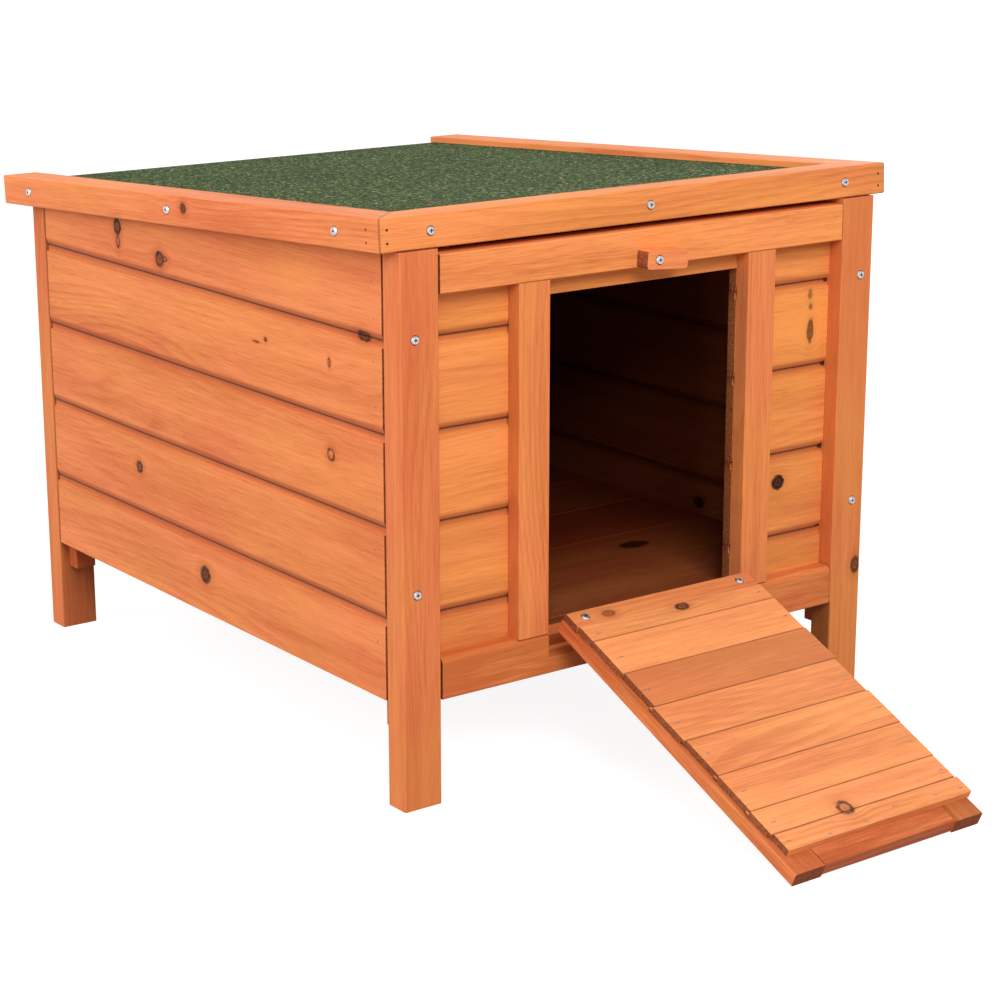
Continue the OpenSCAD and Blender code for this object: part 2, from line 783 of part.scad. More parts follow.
module ramp_hinge_moving() {
    color(steel) ramp_placed() difference() {
        at_ramp_hinges() ramp_bracket();
        at_ramp_plate_screws() flush_hole(plate_t);
    }
}

module rail_plate_screws() color(steel) placed() at_rail_plate_screws() flush_screw(plate_t);
module ramp_plate_screws() color(steel) ramp_placed() at_ramp_plate_screws() flush_screw(plate_t);

module ramp_hinge_pins() {
    color(steel) placed() at_ramp_hinges() translate([-ear_out, ramp_axis_y, ramp_axis_z])
        rotate([0, 90, 0]) cylinder(r = ramp_pin_r, h = 2 * ear_out);
}

// The button turns on its screw, which stays in the top rail
module button_placed() {
    placed() translate([button_x, 0, button_z]) rotate([90, 0, 0]) children();
}

module turn_button() {
    color(wood) button_placed() rotate(-button_tilt) difference() {
        translate([0, 0, button_gap]) linear_extrude(button_t) union() {
            translate([-button_tail, button_round - button_h / 2])
                square([button_l, button_h - 2 * button_round]);
            translate([button_round - button_tail, -button_h / 2])
                square([button_l - 2 * button_round, button_h]);
            for (x = [button_round - button_tail, button_l - button_tail - button_round],
                 y = [button_round - button_h / 2, button_h / 2 - button_round])
                translate([x, y]) circle(button_round);
        }
        cylinder(r = hole_r, h = 2 * button_t);
    }
}

module button_screw() {
    color(steel) button_placed() translate([0, 0, button_gap + button_t + play / 2])
        screw(button_gap + button_t + play / 2 + front_t - 3 * cut);
}

module post_screws() {
    color(steel) placed() for (side = [-1, 1]) at_post_screws(side) screw(shank_l);
}

module roof_screws() {
    color(steel) roof_placed() {
        at_side_screws() screw(shank_l);
        mirror([1, 0, 0]) at_side_screws() screw(shank_l);
        at_front_screws() screw(shank_l);
    }
}

module ramp_screws() {
    color(steel) ramp_placed() ramp_screw_places() screw(slat_t + batten_t / 2);
}

post_front_left();
post_front_right();
post_back_left();
post_back_right();
corner_cleats();
wall_left();
wall_right();
wall_back();
front_board_bottom();
front_boards_left();
front_boards_right();
front_board_top();
top_rail();
bottom_rail();
stile_left();
stile_right();
back_rail();
side_ledgers();
front_ledger();
back_ledger();
floor_boards();
roof_deck();
roof_felt();
roof_rail_left();
roof_rail_right();
roof_rail_front();
roof_back_batten();
roof_hinge_fixed();
roof_hinge_moving();
roof_hinge_pins();
ramp_batten_left();
ramp_batten_right();
ramp_head_rail();
ramp_foot_rail();
ramp_top_bar();
ramp_slats();
ramp_hinge_fixed();
ramp_hinge_moving();
ramp_hinge_pins();
turn_button();
button_screw();
post_screws();
roof_screws();
ramp_screws();
wall_leaf_screws();
roof_leaf_screws();
rail_plate_screws();
ramp_plate_screws();
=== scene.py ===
import json
import math
import random

import bmesh
import bpy
from mathutils import Matrix, Vector


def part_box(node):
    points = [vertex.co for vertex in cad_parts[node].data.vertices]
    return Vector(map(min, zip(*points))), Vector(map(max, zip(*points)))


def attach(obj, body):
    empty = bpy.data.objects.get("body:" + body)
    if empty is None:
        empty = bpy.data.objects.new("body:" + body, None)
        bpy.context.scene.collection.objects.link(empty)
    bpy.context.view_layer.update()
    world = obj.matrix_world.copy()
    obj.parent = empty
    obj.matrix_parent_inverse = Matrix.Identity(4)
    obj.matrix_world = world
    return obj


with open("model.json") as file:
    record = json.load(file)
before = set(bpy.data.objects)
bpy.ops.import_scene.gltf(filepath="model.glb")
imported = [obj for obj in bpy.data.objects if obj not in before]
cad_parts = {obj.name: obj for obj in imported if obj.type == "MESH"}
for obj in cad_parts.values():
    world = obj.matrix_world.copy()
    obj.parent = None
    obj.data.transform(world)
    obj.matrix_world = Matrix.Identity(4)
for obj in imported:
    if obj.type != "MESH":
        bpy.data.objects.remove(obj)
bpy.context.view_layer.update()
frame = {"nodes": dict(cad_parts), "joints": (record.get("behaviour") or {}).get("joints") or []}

MM = 0.001
NODES = frame["nodes"]
JOINTS = {joint["name"]: joint for joint in frame["joints"]}

# The cabin, in millimetres: x from its middle, y from its front, z from the ground
FRONT_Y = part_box("post_front_left")[0].y / MM
HALF_WIDTH = 244
DEPTH = 600
LEG_HEIGHT = 86
WALL_TOP = 436
LIP = 6
BOARD_LINES = [153, 226, 299, 372]
FLOOR_LINES = [38.2, 109, 196, 283, 370, 457, 544, 562]

# The roof, in millimetres: its frame starts at its front edge and slopes with it
ROOF_FRONT = 3.5
ROOF_Z = 442
ROOF_SLOPE = math.radians(3.4)
ROOF_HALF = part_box("roof_rail_right")[1].x / MM

# The ramp, in millimetres: its frame starts at its upper end, and its slats end at SLATS_FOOT
PIVOT_IN = 8
PIVOT_DROP = 11
RAMP_TOP = 18.5
SLATS_HEAD = -17.3
SLATS_FOOT = -284.3
SLAT_LINES = [-266.1, -240.2, -199.5, -158.8, -118.1, -77.4, -36.7]

# Screws, in millimetres: their places on the posts, the button, the roof and the ramp
POST_SCREW_X = 231
POST_SCREW_Z = (176, 375)
BUTTON_SCREW = (-5, -13.7, 414)
ROOF_SCREW_UP = 13
ROOF_SCREW_DOWN_SIDE = (60, 316, 572)
ROOF_SCREW_FROM_CORNER = 46
RAMP_SCREW = (82.3, -8.65)
RECESS_LONG = 3.5
RECESS_WIDE = 0.84
RECESS_THICK = 0.1
RECESS_LIFT = 0.66
SCREW_RIM = [(4.0, 0.0), (3.9, 0.08), (3.4, 0.08)]
SCREW_SIDES = 24

# Nails and staples, in millimetres, with the most that they stray from their places. A staple's tilt is in
# radians, and the two nails at a board's end are placed by shares of the board's height
NAIL_SIDES = 12
NAIL_RADIUS = 1.0
NAIL_HEIGHT = 0.10
NAIL_FROM_END = 37
NAIL_BACK_X = 198
NAIL_BACK_TOP = 400
NAIL_SHARES = (0.28, 0.72)
STRAY_NEAR = 2
STRAY_FAR = 3
SUNK_FROM_FRONT = 17.5
SUNK_FROM_SIDE = 7
SUNK_UP = (7, 17)
SUNK_HEIGHT = 0.06
SUNK_SIDE_RADIUS = 1.0
SUNK_FRONT_RADIUS = 1.1
STAPLE = (4.5, 0.8, 0.7)
STAPLE_SINK = 0.25
STAPLE_X = (-86, 91)
STAPLE_FOOT_X = (-48, -12, 24, 66)
STAPLE_FOOT_Y = -278
STAPLE_TILT = 0.25

# Camera of the photograph, in metres and degrees
CAMERA_AT = (-1.2625, -1.6577, 0.7486)
CAMERA_HEADING = 36.734
CAMERA_DOWN = 15.351
CAMERA_LENS = 89.19
CAMERA_SENSOR = 36

# Light: each lamp's place, what it points at, its size in metres and its power in watts
LAMPS = {
    "key": ((-1.22, -2.72, 2.46), (0, -0.1, 0.2), 1.8, 105),
    "left": ((-3.0, 0.6, 1.5), (0, 0.1, 0.25), 1.6, 47),
    "fill": ((2.8, 1.4, 1.0), (0, 0.1, 0.25), 1.6, 27),
}
AMBIENT = 0.555
FLOOR_SIZE = 30
FLOOR_GREY = 0.32
FLOOR_SEEN_GREY = 0.30
FLOOR_GLOW = 0.88

# Colours, linear
# The softwood colours carry a little painted reflection: the pale veil that a stronger WOOD_SHEEN would
# reflect is added into them
PINE_LIGHT = (0.944, 0.314, 0.114, 1)
PINE_DARK = (0.554, 0.108, 0.034, 1)
PINE_WARM = (0.874, 0.319, 0.076, 1)
# Painted sheen: a paler tint for the ramp's slats and top bar
PINE_SHEEN_TINT = (0.874, 0.364, 0.137, 1)
PINE_RED = (0.314, 0.060, 0.025, 1)
PINE_DEEP = (0.128, 0.030, 0.016, 1)
# A tint multiplied into the wood: painted shade inside the cabin and on shaded legs, ledgers and cleats, and
# a darker tone on the ramp's battens and foot rail
DARKENING_TINT = (0.14, 0.08, 0.06, 1)
# Knot colours, also used for the painted shade spots where the front boards meet the right post
KNOT_AND_SHADE_BROWN = (0.045, 0.011, 0.005, 1)
KNOT_AND_SHADE_RIM = (0.020, 0.007, 0.004, 1)
FELT_DARK = (0.012, 0.025, 0.007, 1)
FELT_MID = (0.090, 0.136, 0.038, 1)
FELT_PALE = (0.36, 0.36, 0.19, 1)
ZINC = (0.66, 0.67, 0.70, 1)
ZINC_DULL = (0.42, 0.42, 0.43, 1)
NAIL_GREY = (0.11, 0.075, 0.06, 1)
NAIL_PALE = (0.28, 0.22, 0.19, 1)
# Painted shade in small holes and screw recesses
HOLE_DARK = (0.012, 0.006, 0.004, 1)
HOLE_BROWN = (0.040, 0.016, 0.008, 1)
WHITE = (1, 1, 1, 1)

# Softwood: scales of its noises along, across and into the board, per millimetre
BEND_SCALE = (0.0020, 0.011, 0.011)
WAVER_SCALE = (0.010, 0.05, 0.05)
BAND_SCALE = (0.003, 0.022, 0.022)
FIBRE_SCALE = (0.02, 0.80, 0.80)
FLECK_SCALE = (0.05, 1.3, 1.3)
STREAK_SCALE = (0.005, 0.16, 0.16)
BROAD_SCALE = (0.0035, 0.030, 0.030)
CLOUD_SCALE = (0.008, 0.014, 0.014)
PORE_SCALE = (0.02, 0.5, 0.5)
RAGGED_SCALE = (0.30, 0.30, 0.05)
PATCH_SCALE = (0.16, 0.16, 0.05)

# Softwood: how far a board's grain is moved at most, and the width and bends of its growth rings, in
# millimetres, then the factors by which the rings lean with depth and give way to a knot
SHIFT_ALONG = 4000.0
SHIFT_ACROSS = 900.0
SHIFT_DEEP = 300.0
RING_WIDTH = 8.5
RING_BEND = 130.0
RING_WAVER = 7.0
RING_LEAN = 0.6
KNOT_PUSH = -0.8

# Softwood: how much each layer of the figure darkens it, and the share of each stain, the groove's share
# being stain and painted shade
MID_SHADE = 0.42
LATE_SHADE = 0.26
FIBRE_SHADE = 0.80
FLECK_SHADE = 0.64
STREAK_SHADE = 0.60
BROAD_SHADE = 1.30
BOARD_SHADE = 0.36
HALO_SHADE = 0.25
GOLD_SHARE = 0.4
FLECK_SHARE = 0.28
GROOVE_STAIN_AND_SHADE_SHARE = 0.68
LINE_SHARE = 0.58
CORE_SHARE = 0.95
RIM_SHARE = 0.97

# Softwood: its sheen and roughness, and its bumps, whose full height is in metres
WOOD_SHEEN = 0.08
WOOD_ROUGH = 0.42
FIBRE_ROUGH = 0.16
END_ROUGH = 0.2
WOOD_BUMP = 0.00022
FIBRE_BUMP = 0.6
FLECK_BUMP = 0.35
LATE_BUMP = -0.25
RIM_BUMP = -1.2

# Softwood: half widths of the line between two boards, and of a mitre, in millimetres
SEAM_INNER = 0.6
SEAM_OUTER = 1.8
MITRE_INNER = 0.5
MITRE_OUTER = 1.6

# Knots in the piece's own frame, in millimetres: their place along and across the grain, their half length
# and half width, and how dark the core and the rim are
KNOT_SIZES = ("Along", "Across", "Long", "Wide", "Fill", "Edge")
KNOT_MARKS = ("Core", "Rim", "Halo", "Push")
KNOT_RAGGED = 0.56
KNOT_RINGS = 13.0
WALL_KNOTS = [
    (435.6, 406, 5.5, 6.5, 0.8, 1.0), (435.6, 393, 3.4, 5.5, 0.3, 0.8), (362, 387.5, 6.5, 6.0, 0.7, 1.0),
    (354, 388.5, 5.0, 2.2, 0.3, 0.8), (412, 194, 5.0, 4.8, 0.8, 0.9), (301, 120.9, 7.4, 7.0, 1.0, 0.8),
    (50.6, 371.4, 8.0, 3.8, 0.8, 0.9), (98, 269.2, 4.8, 4.8, 0.0, 0.9), (98, 343, 2.0, 3.6, 0.5, 0.7),
    (192, 345.5, 2.2, 1.7, 0.8, 0.8), (207, 341.5, 4.6, 0.9, 0.7, 0.7),
]
FRONT_KNOTS = [
    (187.5, 361, 2.4, 4.0, 0.55, 0.2), (188.5, 350, 2.2, 2.6, 0.6, 0.2), (188.8, 329, 3.4, 9.5, 0.8, 0.5),
    (156.4, 200.6, 6.0, 5.8, 1.15, 1.0),
]
# Painted shade: dark spots, drawn as knots, where the right front boards' lines meet the post
FRONT_GAP_SHADE_SPOTS = [(207.0, edge - 0.6, 3.2, 1.9, 1.0, 0.9) for edge in BOARD_LINES]
RIGHT_POST_KNOTS = [(116, 238, 7.0, 4.5, 0.8, 0.7)]
LEFT_RAIL_KNOTS = [(288.4, 15.8, 4.6, 4.2, 0.9, 0.5)]
SLAT_KNOTS = [(8.8, -22.0, 6.4, 3.8, 0.8, 0.8), (-17.9, -263.0, 6.2, 6.6, 0.30, 0.85)]
BAR_KNOTS = [(-60.2, -10.5, 6.0, 3.6, 0.5, 0.4)]
FLOOR_KNOTS = [
    (120, 162, 14.0, 8.0, 1.0, 0.7), (-92, 318, 8.0, 6.0, 0.8, 0.8), (60, 428, 6.0, 6.0, 0.7, 0.8),
]
FAR_WALL_KNOTS = [
    (120, 182, 5.0, 4.5, 0.8, 0.8), (330, 330, 4.5, 5.0, 0.7, 1.0), (480, 250, 3.5, 3.5, 0.4, 0.7),
    (205, 128, 6.0, 4.5, 0.9, 0.9),
]
BACK_KNOTS = [
    (-120, 262, 5.0, 4.5, 0.8, 0.8), (60, 345, 4.0, 4.5, 0.6, 0.9), (150, 190, 6.0, 5.0, 0.9, 0.9),
    (-40, 120, 4.0, 3.5, 0.3, 0.6),
]

# Changes of tone from slat to slat, from the ramp's foot up
SLAT_STEPS = (-0.28, 0.26, -0.06, 0.08, 0.72, -1.04, 0.35)

# How the painted shade on inner faces changes along a piece: an axis, two places on it, and the factor past
# the second. It deepens away from the doorway, and on the leg it is kept below the cabin
WALL_SHADE_FADE = ("y", 150.0, 225.0, 1.43)
FLOOR_SHADE_FADE = ("y", 70.0, 250.0, 1.33)
LEG_SHADE_FADE = ("z", 85.0, 90.0, 0.0)

# Felt: scales of its noises, per millimetre, how much each lightens it, and its finish, with bumps in metres
GRIT_SCALE = (0.62, 0.36, 0.62)
MOTTLE_SCALE = (0.012, 0.012, 0.012)
TUFT_SCALE = (0.30, 0.16, 0.30)
GRIT_LIGHT = 0.45
MOTTLE_LIGHT = 0.5
TUFT_LIGHT = 4.0
TUFT_OFFSET = -1.75
PALE_GRIT = 0.95
DARK_GRIT = 0.75
FELT_ROUGH = 0.95
FELT_SHEEN = 0.12
FELT_BUMP = 0.0007
TUFT_BUMP = 1.5

# Steel and holes: scales of their noises, per millimetre, and their finish, with bumps in metres
BRUSH_SCALE = (0.25, 3.0, 3.0)
SPOT_SCALE = (0.5, 0.5, 0.5)
HOLE_SCALE = (1.5, 1.5, 1.5)
SCREW_ROUGH = 0.25
HINGE_ROUGH = 0.38
NAIL_ROUGH = 0.5
BRUSH_ROUGH = 0.25
HOLE_ROUGH = 0.9
STEEL_BUMP = 0.00004

# Sanded edges: the width of the rounding in millimetres, and the angle from which an edge counts as sharp
EASED = 0.5
WELD = 0.01
SHARP = math.radians(35)


def turn_x(angle):
    return Matrix.Rotation(angle, 4, "X")


def shift(x, y, z):
    """A move by that many millimetres."""
    return Matrix.Translation(Vector((x, y, z)) * MM)


def ramp_frame():
    """The ramp's own frame: y is 0 at its upper end and falls to its foot, z is 0 on its underside."""
    angle = math.radians(JOINTS["ramp_hinge"]["range_deg"][1] - 90)
    pivot = Vector(JOINTS["ramp_hinge"]["pos_m"])
    return Matrix.Translation(pivot) @ turn_x(angle) @ shift(0, PIVOT_IN, PIVOT_DROP)


HOUSE = shift(0, FRONT_Y, 0)
ROOF = shift(0, FRONT_Y + ROOF_FRONT, ROOF_Z) @ turn_x(-ROOF_SLOPE)
RAMP = ramp_frame()


class Graph:
    """A node tree, with short calls for the nodes that the materials use."""

    def __init__(self, tree):
        self.tree = tree

    def node(self, kind, **settings):
        made = self.tree.nodes.new(kind)
        for name, value in settings.items():
            setattr(made, name, value)
        return made

    def feed(self, socket, value):
        if isinstance(value, bpy.types.NodeSocket):
            self.tree.links.new(value, socket)
        elif value is not None:
            socket.default_value = value

    def math(self, operation, a, b=None, c=None):
        made = self.node("ShaderNodeMath", operation=operation)
        for socket, value in zip(made.inputs, (a, b, c)):
            self.feed(socket, value)
        return made.outputs[0]

    def total(self, *values):
        made = values[0]
        for value in values[1:]:
            made = self.math("ADD", made, value)
        return made

    def product(self, *values):
        made = values[0]
        for value in values[1:]:
            made = self.math("MULTIPLY", made, value)
        return made

    def swing(self, value, gain):
        """A value from 0 to 1 made to swing about 0."""
        return self.math("MULTIPLY_ADD", value, gain, -gain / 2)

    def smooth(self, value, low, high, start=0.0, end=1.0):
        """A smooth step from start, where the value is low, to end, where it is high."""
        made = self.node("ShaderNodeMapRange", interpolation_type="SMOOTHSTEP")
        for socket, number in zip(made.inputs, (value, low, high, start, end)):
            self.feed(socket, number)
        return made.outputs[0]

    def join(self, x, y, z):
        made = self.node("ShaderNodeCombineXYZ")
        for socket, value in zip(made.inputs, (x, y, z)):
            self.feed(socket, value)
        return made.outputs[0]

    def split(self, vector):
        made = self.node("ShaderNodeSeparateXYZ")
        self.feed(made.inputs[0], vector)
        return made.outputs

    def pattern(self, kind, vector, scale):
        """A pattern's node, with the point scaled along each axis."""
        scaled = self.node("ShaderNodeVectorMath", operation="MULTIPLY")
        self.feed(scaled.inputs[0], vector)
        scaled.inputs[1].default_value = scale
        made = self.node(kind)
        self.feed(made.inputs["Vector"], scaled.outputs[0])
        made.inputs["Scale"].default_value = 1
        return made

    def noise(self, vector, scale, detail=2.0, roughness=0.5):
        made = self.pattern("ShaderNodeTexNoise", vector, scale)
        made.inputs["Detail"].default_value = detail
        made.inputs["Roughness"].default_value = roughness
        return made.outputs[0]

    def cells(self, vector, scale):
        """Three chances for each cell of a pattern of grit."""
        return self.split(self.pattern("ShaderNodeTexVoronoi", vector, scale).outputs["Color"])

    def mix(self, factor, a, b, blend="MIX"):
        made = self.node("ShaderNodeMix", data_type="RGBA", blend_type=blend)
        self.feed(made.inputs[0], factor)
        self.feed(made.inputs[6], a)
        self.feed(made.inputs[7], b)
        return made.outputs[2]

    def tint(self, factor, colour, hue):
        """The colour with the hue and saturation of another, by that share."""
        return self.mix(factor, colour, self.mix(1.0, colour, hue, "COLOR"))


def new_group(name, inputs, outputs):
    """A node group's graph, and its inputs by name."""
    tree = bpy.data.node_groups.new(name, "ShaderNodeTree")
    for socket, kind in inputs.items():
        tree.interface.new_socket(socket, in_out="INPUT", socket_type="NodeSocket" + kind)
    for socket, kind in outputs.items():
        tree.interface.new_socket(socket, in_out="OUTPUT", socket_type="NodeSocket" + kind)
    graph = Graph(tree)
    source = graph.node("NodeGroupInput").outputs
    return graph, {socket: source[socket] for socket in inputs}


def end_group(graph, values):
    sink = graph.node("NodeGroupOutput")
    for socket, value in values.items():
        graph.feed(sink.inputs[socket], value)
    return graph.tree


def knot_group():
    """One knot: its core, its dark rim, the stain round it, and how it pushes the grain aside."""
    graph, at = new_group(
        "knot",
        {"Grain": "Vector", **dict.fromkeys(KNOT_SIZES, "Float")},
        dict.fromkeys(KNOT_MARKS, "Float"),
    )
    along, across, _ = graph.split(at["Grain"])
    off_along = graph.math("DIVIDE", graph.math("SUBTRACT", along, at["Along"]), at["Long"])
    off_across = graph.math("DIVIDE", graph.math("SUBTRACT", across, at["Across"]), at["Wide"])
    square = graph.total(graph.product(off_along, off_along), graph.product(off_across, off_across))
    ragged = graph.noise(at["Grain"], RAGGED_SCALE, 3.0, 0.6)
    reach = graph.total(graph.math("SQRT", square), graph.swing(ragged, KNOT_RAGGED))

    year = graph.math("MULTIPLY_ADD", graph.math("SINE", graph.product(reach, KNOT_RINGS)), 0.10, 0.90)
    core = graph.product(graph.smooth(reach, 0.80, 1.20, 1.0, 0.0), year, at["Fill"])
    patchy = graph.smooth(graph.noise(at["Grain"], PATCH_SCALE), 0.36, 0.56, 0.60, 1.0)
    band = graph.product(graph.smooth(reach, 0.50, 0.85), graph.smooth(reach, 0.95, 1.40, 1.0, 0.0))
    heart = graph.product(graph.smooth(reach, 0.0, 0.45, 1.0, 0.0), at["Fill"], 0.7)
    rim = graph.math("MAXIMUM", graph.product(band, patchy, at["Edge"]), heart)
    halo = graph.smooth(reach, 0.9, 3.0, 1.0, 0.0)
    push = graph.product(graph.smooth(reach, 0.3, 4.5, 1.0, 0.0), graph.math("SIGN", off_across), at["Wide"])
    return end_group(graph, {"Core": core, "Rim": rim, "Halo": halo, "Push": push})


def pine_group():
    """Stained softwood. Grain is the place in millimetres along, across and into the board."""
    levels = ("Board", "End", "GrooveStainAndShade", "Line", "Darkening", "Tone", "Warm", "Figure", "SheenTint")
    graph, at = new_group(
        "stained_pine",
        {"Grain": "Vector", **dict.fromkeys(levels + KNOT_MARKS, "Float")},
        {"Color": "Color", "Roughness": "Float", "Height": "Float"},
    )
    chance = graph.node("ShaderNodeTexWhiteNoise", noise_dimensions="1D")
    graph.feed(chance.inputs["W"], at["Board"])
    luck = graph.split(chance.outputs["Color"])
    along, across, deep = graph.split(at["Grain"])
    along = graph.total(along, graph.product(luck[0], SHIFT_ALONG))
    pushed = graph.product(at["Push"], KNOT_PUSH)
    across = graph.total(across, graph.product(luck[1], SHIFT_ACROSS), pushed)
    deep = graph.total(deep, graph.product(luck[2], SHIFT_DEEP))
    place = graph.join(along, across, deep)

    # Growth rings: contours of a slowly bending field, light early wood to dark late wood
    bend = graph.noise(place, BEND_SCALE, 1.5, 0.4)
    waver = graph.noise(place, WAVER_SCALE)
    field = graph.total(across, graph.product(deep, RING_LEAN), graph.product(bend, RING_BEND),
                        graph.product(waver, RING_WAVER))
    ring = graph.math("FRACT", graph.math("DIVIDE", field, RING_WIDTH))
    strength = graph.smooth(graph.noise(place, BAND_SCALE, 1.0), 0.42, 0.70, 0.10, 1.0)
    late = graph.product(graph.smooth(ring, 0.20, 0.86), graph.smooth(ring, 0.90, 1.0, 1.0, 0.0), strength)

    # Fibres, streaks of stain, and the tone of the whole board
    fibre = graph.noise(place, FIBRE_SCALE, 3.0, 0.65)
    fleck = graph.noise(place, FLECK_SCALE, 2.0, 0.6)
    streak = graph.noise(place, STREAK_SCALE, 3.0, 0.6)
    broad = graph.noise(place, BROAD_SCALE, 3.0, 0.55)
    cloud = graph.noise(place, CLOUD_SCALE)
    figure = graph.total(
        graph.product(late, LATE_SHADE),
        graph.swing(fibre, FIBRE_SHADE),
        graph.swing(fleck, FLECK_SHADE),
        graph.swing(streak, STREAK_SHADE),
        graph.swing(broad, BROAD_SHADE),
    )
    shade = graph.total(
        MID_SHADE,
        graph.product(figure, at["Figure"]),
        graph.swing(luck[2], BOARD_SHADE),
        graph.product(at["Halo"], HALO_SHADE),
        at["Tone"],
    )
    colour = graph.mix(graph.smooth(shade, -0.20, 1.15), PINE_LIGHT, PINE_DARK)
    golden = graph.math("MULTIPLY_ADD", graph.smooth(cloud, 0.35, 0.65), GOLD_SHARE, at["Warm"])
    colour = graph.tint(graph.math("MINIMUM", golden, 1.0), colour, PINE_WARM)
    flecked = graph.product(graph.smooth(fleck, 0.60, 0.76), at["Figure"], FLECK_SHARE)
    colour = graph.mix(flecked, colour, PINE_RED)
    # Painted sheen: a paler tint on the ramp's slats and top bar
    colour = graph.tint(at["SheenTint"], colour, PINE_SHEEN_TINT)
    # Stain and painted shade on the lip and chamfer at each board line
    colour = graph.mix(graph.product(at["GrooveStainAndShade"], GROOVE_STAIN_AND_SHADE_SHARE), colour, PINE_RED)
    colour = graph.mix(graph.product(at["Line"], LINE_SHARE), colour, PINE_DEEP)

    # End grain soaks up more stain and knots are darker; the darkening tint paints shade inside the cabin and
    # on other shaded faces, and darkens the ramp's battens and foot rail
    pores = graph.noise(at["Grain"], PORE_SCALE, 3.0, 0.7)
    end_shade = graph.product(at["End"], graph.smooth(pores, 0.30, 0.70, 0.60, 0.92))
    colour = graph.mix(end_shade, colour, PINE_DEEP)
    colour = graph.mix(graph.product(at["Core"], CORE_SHARE), colour, KNOT_AND_SHADE_BROWN)
    colour = graph.mix(graph.product(at["Rim"], RIM_SHARE), colour, KNOT_AND_SHADE_RIM)
    colour = graph.mix(at["Darkening"], colour, DARKENING_TINT, "MULTIPLY")

    rough = graph.total(WOOD_ROUGH, graph.product(fibre, FIBRE_ROUGH), graph.product(at["End"], END_ROUGH))
    height = graph.total(graph.product(fibre, FIBRE_BUMP), graph.product(fleck, FLECK_BUMP),
                         graph.product(late, LATE_BUMP), graph.product(at["Rim"], RIM_BUMP))
    return end_group(graph, {"Color": colour, "Roughness": rough, "Height": height})


PINE = pine_group()
KNOT = knot_group()


def use_group(graph, group, values):
    made = graph.node("ShaderNodeGroup", node_tree=group)
    for socket, value in values.items():
        graph.feed(made.inputs[socket], value)
    return made.outputs


def new_material(name):
    """A material, its graph and its Principled shader."""
    material = bpy.data.materials.new(name)
    material.use_nodes = True
    graph = Graph(material.node_tree)
    return material, graph, material.node_tree.nodes["Principled BSDF"]


def local_place(graph, place):
    """The point in millimetres in that frame, and the surface's direction there."""
    coordinate = graph.node("ShaderNodeTexCoord")
    inverse = place.inverted()
    point = graph.node("ShaderNodeMapping", vector_type="POINT")
    graph.feed(point.inputs["Vector"], coordinate.outputs["Object"])
    point.inputs["Location"].default_value = inverse.translation / MM
    point.inputs["Rotation"].default_value = inverse.to_euler()
    point.inputs["Scale"].default_value = (1 / MM,) * 3
    facing = graph.node("ShaderNodeMapping", vector_type="VECTOR")
    graph.feed(facing.inputs["Vector"], coordinate.outputs["Normal"])
    facing.inputs["Rotation"].default_value = inverse.to_euler()
    return graph.split(point.outputs[0]), graph.split(facing.outputs[0])


def bump(graph, shader, height, depth):
    made = graph.node("ShaderNodeBump")
    made.inputs["Strength"].default_value = 1
    made.inputs["Distance"].default_value = depth
    graph.feed(made.inputs["Height"], height)
    graph.feed(shader.inputs["Normal"], made.outputs[0])


def joint_marks(graph, height, edges, lip, seam, thin):
    """Stain and painted shade on the chamfer above each joint and the lip below it, which the board above
    shades, and the dark line where boards meet.
    """
    groove, line = 0.0, 0.0
    for edge in edges:
        up = graph.math("SUBTRACT", height, float(edge))
        off = graph.math("ABSOLUTE", up)
        near = graph.smooth(off, SEAM_INNER * thin, SEAM_OUTER * thin, seam, 0.0)
        line = graph.math("MAXIMUM", line, near)
        if lip:
            above = graph.smooth(up, 3.0, 7.0, 0.85, 0.0)
            below = graph.smooth(up, -lip - 3.0, -0.5, 0.0, 0.95)
            groove = graph.math("MAXIMUM", groove, graph.math("MINIMUM", above, below))
    return groove, line


